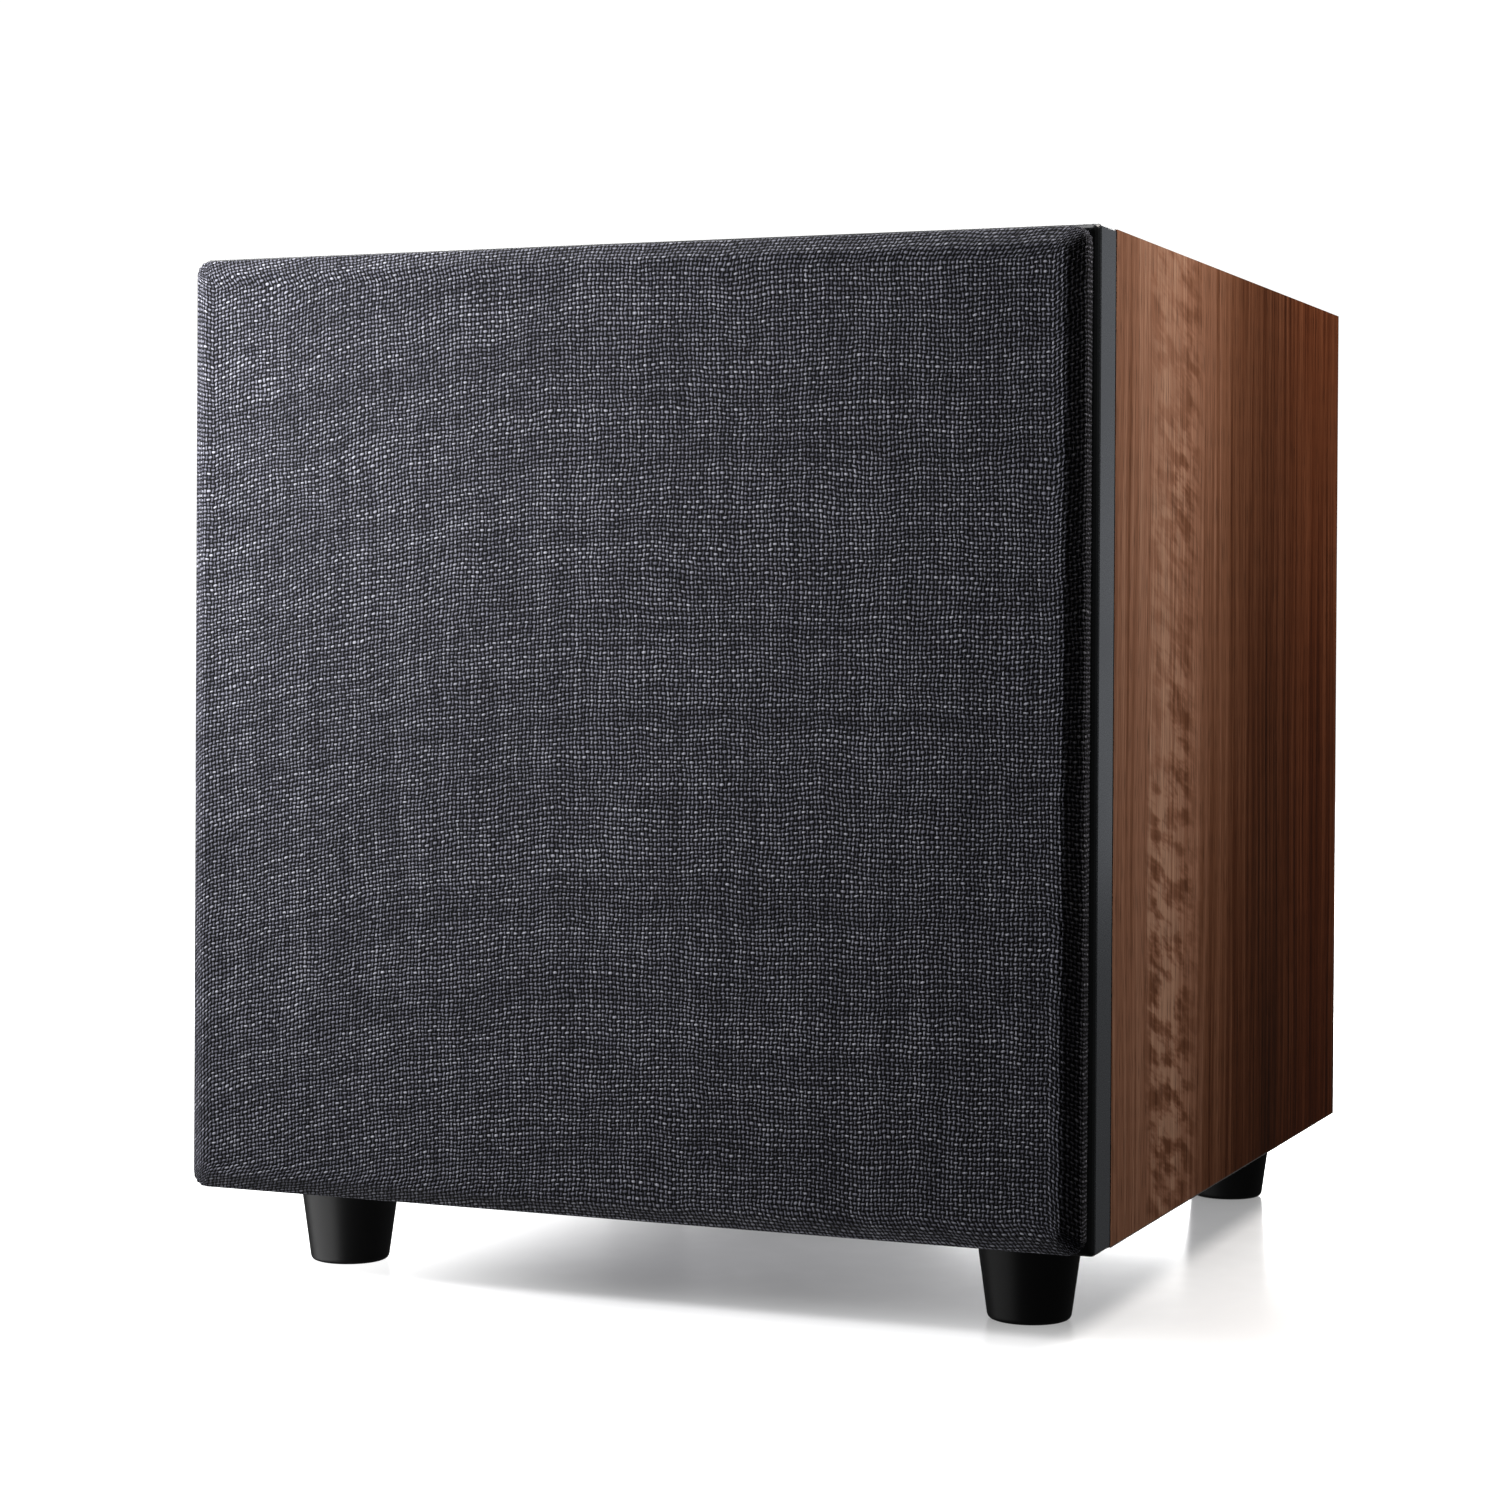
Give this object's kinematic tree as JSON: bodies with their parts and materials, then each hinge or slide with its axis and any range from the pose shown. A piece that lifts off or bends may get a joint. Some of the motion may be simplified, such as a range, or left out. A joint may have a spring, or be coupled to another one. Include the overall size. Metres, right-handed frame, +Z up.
{
  "type": "subwoofer",
  "caption": "Powered subwoofer: near-cubic walnut cabinet, black front baffle, pull-off cloth grille, down-firing port, rear plate amplifier and tapered rubber feet.",
  "frame": {"origin": "on the floor under the middle of the overall length and width", "axes": "+Z up, the grille faces -Y, the amplifier plate faces +Y"},
  "size_m": [0.33, 0.3782, 0.3605],
  "materials": {
    "walnut_veneer": "satin lacquered walnut veneer on MDF",
    "mdf": "raw board",
    "satin_black": "satin black lacquer on MDF",
    "black_plastic": "fine matte",
    "rubber": "satin",
    "grille_cloth": "coarse plain weave, charcoal and navy melange",
    "plated_steel": "zinc plated",
    "coated_steel": "fine textured powder coat",
    "black_screw": "black oxide",
    "cone_paper": "pressed pulp, black",
    "dust_cap": "coated pulp, black",
    "former_foil": "rolled foil",
    "copper_wire": "enamelled copper winding",
    "spider_cloth": "resin-dipped cloth",
    "ferrite": "sintered",
    "port_plastic": "satin moulded",
    "wadding": "loose polyester fibre",
    "gasket_foam": "closed-cell foam",
    "circuit_board": "solder mask",
    "transformer_tape": "polyester tape over copper",
    "capacitor_sleeve": "shrink sleeve",
    "status_lens": "tinted lens",
    "jack_white": "white ring",
    "jack_red": "red ring",
    "wire_jacket": "flexible jacket"
  },
  "bodies": {
    "cabinet": {"cabinet_side_left": "walnut_veneer", "cabinet_side_right": "walnut_veneer", "cabinet_top": "walnut_veneer", "cabinet_bottom": "walnut_veneer", "cabinet_back": "mdf", "window_brace": "mdf", "front_baffle": "satin_black", "foot_front_left": "rubber", "foot_front_right": "rubber", "foot_rear_left": "rubber", "foot_rear_right": "rubber", "woofer_gasket": "rubber", "woofer_surround": "rubber", "grille_cup_top_left": "black_plastic", "grille_cup_top_right": "black_plastic", "grille_cup_bottom_left": "black_plastic", "grille_cup_bottom_right": "black_plastic", "woofer_basket": "coated_steel", "woofer_spider": "spider_cloth", "magnet_top_plate": "plated_steel", "magnet_ring": "ferrite", "magnet_yoke": "plated_steel", "woofer_terminal": "black_plastic", "port_flare_outer": "port_plastic", "port_tube": "port_plastic", "port_flare_inner": "port_plastic", "acoustic_wadding": "wadding", "amplifier_plate": "coated_steel", "amplifier_gasket": "gasket_foam", "amplifier_housing": "coated_steel", "circuit_board": "circuit_board", "transformer": "transformer_tape", "reservoir_capacitor": "capacitor_sleeve", "status_light": "status_lens", "mains_inlet": "black_plastic", "input_jack_left": "jack_white", "input_jack_right": "jack_red", "speaker_wire": "wire_jacket", "woofer_screw_1": "black_screw", "woofer_screw_2": "black_screw", "woofer_screw_3": "black_screw", "woofer_screw_4": "black_screw", "woofer_screw_5": "black_screw", "woofer_screw_6": "black_screw", "woofer_screw_7": "black_screw", "woofer_screw_8": "black_screw"},
    "grille": {"grille_frame": "black_plastic", "grille_cloth": "grille_cloth"},
    "cone": {"woofer_cone": "cone_paper", "woofer_dust_cap": "dust_cap", "voice_coil_former": "former_foil", "voice_coil_winding": "copper_wire"},
    "volume_control": {"volume_knob": "black_plastic", "volume_shaft": "plated_steel"},
    "crossover_control": {"crossover_knob": "black_plastic", "crossover_shaft": "plated_steel"},
    "phase_switch": {"phase_lever": "black_plastic"},
    "power_switch": {"power_lever": "black_plastic"},
    "rocker": {"mains_rocker": "black_plastic"},
    "drawer": {"fuse_drawer": "black_plastic"}
  },
  "joints": [
    {"name": "grille_pull", "type": "slide", "parent": "cabinet", "child": "grille", "axis": [0, -1, 0], "range_m": [0, 0.06]},
    {"name": "cone_excursion", "type": "slide", "parent": "cabinet", "child": "cone", "axis": [0, -1, 0], "range_m": [-0.008, 0.008], "stiffness_N_per_m": 1800, "deforming": ["woofer_surround", "woofer_spider"]},
    {"name": "volume_turn", "type": "hinge", "parent": "cabinet", "child": "volume_control", "pos_m": [0.05, 0.17485, 0.2775], "axis": [0, -1, 0], "range_deg": [-150, 150]},
    {"name": "crossover_turn", "type": "hinge", "parent": "cabinet", "child": "crossover_control", "pos_m": [-0.05, 0.17485, 0.2775], "axis": [0, -1, 0], "range_deg": [-150, 150]},
    {"name": "phase_slide", "type": "slide", "parent": "cabinet", "child": "phase_switch", "axis": [1, 0, 0], "range_m": [0, 0.004]},
    {"name": "power_slide", "type": "slide", "parent": "cabinet", "child": "power_switch", "axis": [1, 0, 0], "range_m": [-0.0035, 0.0035]},
    {"name": "rocker_tilt", "type": "hinge", "parent": "cabinet", "child": "rocker", "pos_m": [0, 0.17495, 0.134], "axis": [0, 0, 1], "range_deg": [0, 14]},
    {"name": "fuse_drawer_pull", "type": "slide", "parent": "cabinet", "child": "drawer", "axis": [0, 1, 0], "range_m": [0, 0.02]}
  ]
}
